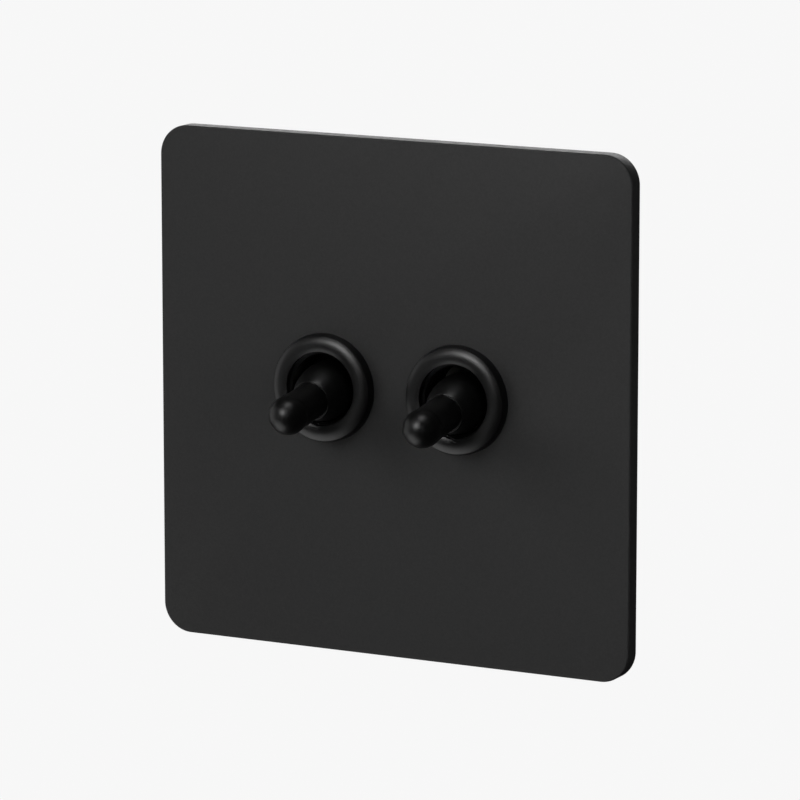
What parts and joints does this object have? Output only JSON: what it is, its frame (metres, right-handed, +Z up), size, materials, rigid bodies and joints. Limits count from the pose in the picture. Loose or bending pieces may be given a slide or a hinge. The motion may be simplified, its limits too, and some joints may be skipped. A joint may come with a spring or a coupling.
{
  "type": "toggle wall switch",
  "caption": "Flat square wall plate with round domed collars and short ball-ended toggle levers, each working a sprung tumbler switch in a case behind the plate.",
  "frame": {"origin": "centre of the square plate, on the wall plane that its rim stands on", "axes": "+X to the right seen from the front, +Y into the wall, +Z up"},
  "size_m": [0.086, 0.042, 0.086],
  "materials": {
    "plate_black": "matt black powder coat with a fine grain",
    "collar_black": "satin black",
    "lever_black": "satin black",
    "bushing_black": "dull black",
    "frame_steel": "zinc-plated pressed steel",
    "screw_steel": "zinc-plated",
    "spring_steel": "drawn wire",
    "brass": "machined",
    "contact_copper": "stamped copper alloy",
    "case_plastic": "moulded"
  },
  "bodies": {
    "root": {"front_plate": "plate_black", "mounting_frame": "frame_steel", "fixing_screw_left": "screw_steel", "fixing_screw_right": "screw_steel", "earth_terminal": "brass", "earth_screw": "screw_steel", "left_collar": "collar_black", "left_bushing": "bushing_black", "left_pivot_pin": "screw_steel", "left_com_terminal": "brass", "left_com_screw": "screw_steel", "left_l1_terminal": "brass", "left_l1_screw": "screw_steel", "left_l2_terminal": "brass", "left_l2_screw": "screw_steel", "left_housing": "case_plastic", "left_rear_cover": "case_plastic", "left_housing_screw_upper": "screw_steel", "left_housing_screw_lower": "screw_steel", "right_collar": "collar_black", "right_bushing": "bushing_black", "right_pivot_pin": "screw_steel", "right_com_terminal": "brass", "right_com_screw": "screw_steel", "right_l1_terminal": "brass", "right_l1_screw": "screw_steel", "right_l2_terminal": "brass", "right_l2_screw": "screw_steel", "right_housing": "case_plastic", "right_rear_cover": "case_plastic", "right_housing_screw_upper": "screw_steel", "right_housing_screw_lower": "screw_steel"},
    "left_lever": {"left_lever": "lever_black", "left_spring": "spring_steel"},
    "left_plunger": {"left_plunger": "brass"},
    "left_rocker": {"left_rocker": "contact_copper"},
    "right_lever": {"right_lever": "lever_black", "right_spring": "spring_steel"},
    "right_plunger": {"right_plunger": "brass"},
    "right_rocker": {"right_rocker": "contact_copper"}
  },
  "joints": [
    {"name": "left_lever_tilt", "type": "hinge", "parent": "root", "child": "left_lever", "pos_m": [-0.0122, 0.0015, 0.0012], "axis": [1, 0, 0], "range_deg": [-16.8, 0]},
    {"name": "left_rocker_tilt", "type": "hinge", "parent": "root", "child": "left_rocker", "pos_m": [-0.0122, 0.01315, 0.0012], "axis": [1, 0, 0], "range_deg": [-0.2, 15.3]},
    {"name": "left_plunger_slide", "type": "slide", "parent": "left_lever", "child": "left_plunger", "axis": [0, -0.9893, -0.1461], "range_m": [0, 0.0005], "stiffness_N_per_m": 20, "springref_m": -0.0001, "deforming": ["left_spring"]},
    {"name": "right_lever_tilt", "type": "hinge", "parent": "root", "child": "right_lever", "pos_m": [0.0122, 0.0015, 0.0012], "axis": [1, 0, 0], "range_deg": [-16.8, 0]},
    {"name": "right_rocker_tilt", "type": "hinge", "parent": "root", "child": "right_rocker", "pos_m": [0.0122, 0.01315, 0.0012], "axis": [1, 0, 0], "range_deg": [-0.2, 15.3]},
    {"name": "right_plunger_slide", "type": "slide", "parent": "right_lever", "child": "right_plunger", "axis": [0, -0.9893, -0.1461], "range_m": [0, 0.0005], "stiffness_N_per_m": 20, "springref_m": -0.0001, "deforming": ["right_spring"]}
  ],
  "couplings": [
    {"joint": "left_rocker_tilt", "follows": "left_lever_tilt", "ratio": -0.9},
    {"joint": "right_rocker_tilt", "follows": "right_lever_tilt", "ratio": -0.9}
  ]
}
